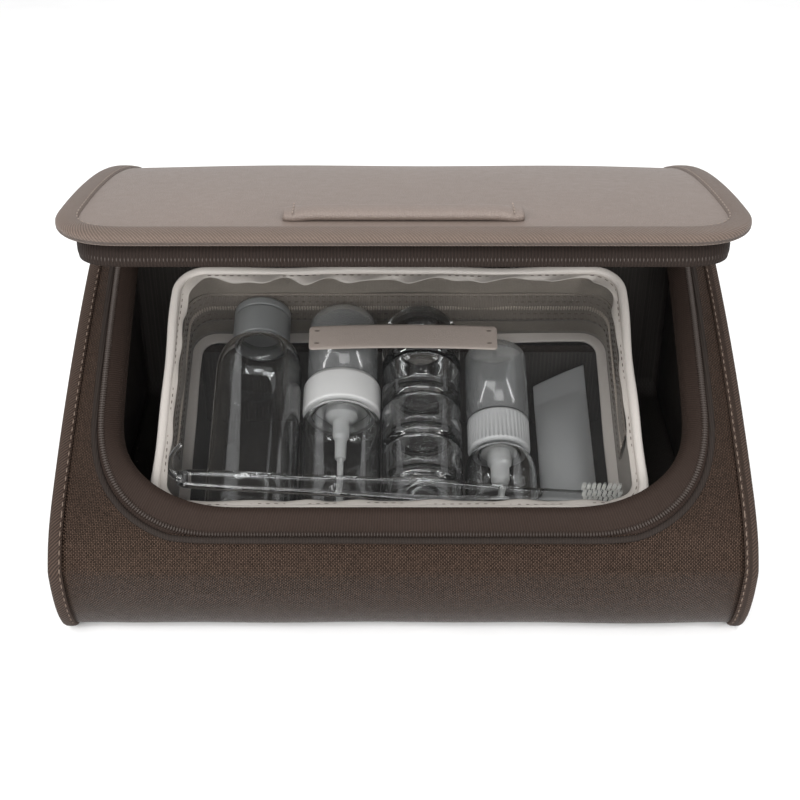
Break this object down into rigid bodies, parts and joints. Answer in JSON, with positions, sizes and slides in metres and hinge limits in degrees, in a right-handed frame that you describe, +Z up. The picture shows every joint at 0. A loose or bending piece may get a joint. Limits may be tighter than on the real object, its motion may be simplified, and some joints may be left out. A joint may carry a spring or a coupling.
{
  "type": "travel wash bag with a clear liquids pouch",
  "caption": "Wash bag with a zipped lid held open over a clear zip pouch of travel bottles, jars, a tube and a toothbrush; the pump and spray heads press down.",
  "frame": {"origin": "middle of the width on the base's flat face, under the bag", "axes": "+X across the bag, to the right seen from the front; +Y to the back, where the lid is sewn on; +Z up"},
  "size_m": [0.2726, 0.1859, 0.1807],
  "materials": {
    "nylon": "matte",
    "twill": "matte",
    "leatherette": "satin",
    "lining": "matte",
    "zip": "matte",
    "slider_metal": "satin",
    "white_trim": "satin",
    "taupe_tape": "matte",
    "clear": "gloss",
    "frosted": "satin",
    "white_plastic": "satin",
    "grey_plastic": "satin"
  },
  "bodies": {
    "bag": {"base_board": "lining", "body_wrap": "nylon", "hinge_roll": "twill", "inner_pocket": "lining", "lining": "lining", "side_binding_left": "twill", "side_binding_right": "twill", "side_pad_left": "lining", "side_pad_right": "lining", "side_panel_left": "nylon", "side_panel_right": "nylon", "slider_left": "slider_metal", "slider_right": "slider_metal", "zip_coil_body": "zip", "zip_tape_body": "zip"},
    "lid": {"lid_binding": "twill", "lid_handle": "leatherette", "lid_lining": "lining", "lid_panel": "leatherette", "lid_zip_band": "zip", "lid_zip_coil": "zip"},
    "pouch": {"bottle_body": "clear", "flip_cap_base": "grey_plastic", "flip_cap_lid": "grey_plastic", "foam_bottle": "clear", "foam_collar": "white_plastic", "foam_engine": "white_plastic", "foam_overcap": "frosted", "jar_1": "clear", "jar_2": "clear", "jar_3": "clear", "jar_4": "clear", "jar_lid": "clear", "pouch_back_film": "clear", "pouch_back_frame": "white_trim", "pouch_front_film": "clear", "pouch_front_frame": "white_trim", "pouch_gusset": "taupe_tape", "pouch_plate": "leatherette", "pouch_slider": "slider_metal", "pouch_zip_coil": "white_trim", "pouch_zip_tape": "taupe_tape", "spray_bottle": "clear", "spray_collar": "white_plastic", "spray_engine": "white_plastic", "spray_overcap": "frosted", "toothbrush_handle": "clear", "toothbrush_tufts": "clear", "tube_body": "frosted", "tube_cap": "grey_plastic"},
    "foam_head": {"foam_pump_head": "white_plastic"},
    "mist_head": {"spray_head": "white_plastic"},
    "pull_left": {"slider_pull_left": "slider_metal"},
    "pull_right": {"slider_pull_right": "slider_metal"},
    "pouch_pull": {"pouch_slider_pull": "slider_metal"}
  },
  "joints": [
    {"name": "lid_hinge", "type": "hinge", "parent": "bag", "child": "lid", "pos_m": [0, 0.084, 0.1162], "axis": [-1, 0, 0], "range_deg": [-37.2, 75]},
    {"name": "pouch_lift", "type": "slide", "parent": "bag", "child": "pouch", "axis": [0, -0.5, 0.866], "range_m": [0, 0.04]},
    {"name": "foam_press", "type": "slide", "parent": "pouch", "child": "foam_head", "axis": [0, -0.9232, -0.3843], "range_m": [0, 0.006], "stiffness_N_per_m": 300},
    {"name": "mist_press", "type": "slide", "parent": "pouch", "child": "mist_head", "axis": [0, -0.9232, -0.3843], "range_m": [0, 0.004], "stiffness_N_per_m": 300},
    {"name": "pull_swing_left", "type": "hinge", "parent": "bag", "child": "pull_left", "pos_m": [-0.11924, 0.05721, 0.10975], "axis": [-1, 0, 0], "range_deg": [0, 60]},
    {"name": "pull_swing_right", "type": "hinge", "parent": "bag", "child": "pull_right", "pos_m": [0.11924, 0.05721, 0.10975], "axis": [-1, 0, 0], "range_deg": [0, 60]},
    {"name": "pouch_pull_swing", "type": "hinge", "parent": "pouch", "child": "pouch_pull", "pos_m": [-0.0675, 0.06052, 0.0754], "axis": [0, 0.3843, -0.9232], "range_deg": [0, 60]}
  ]
}
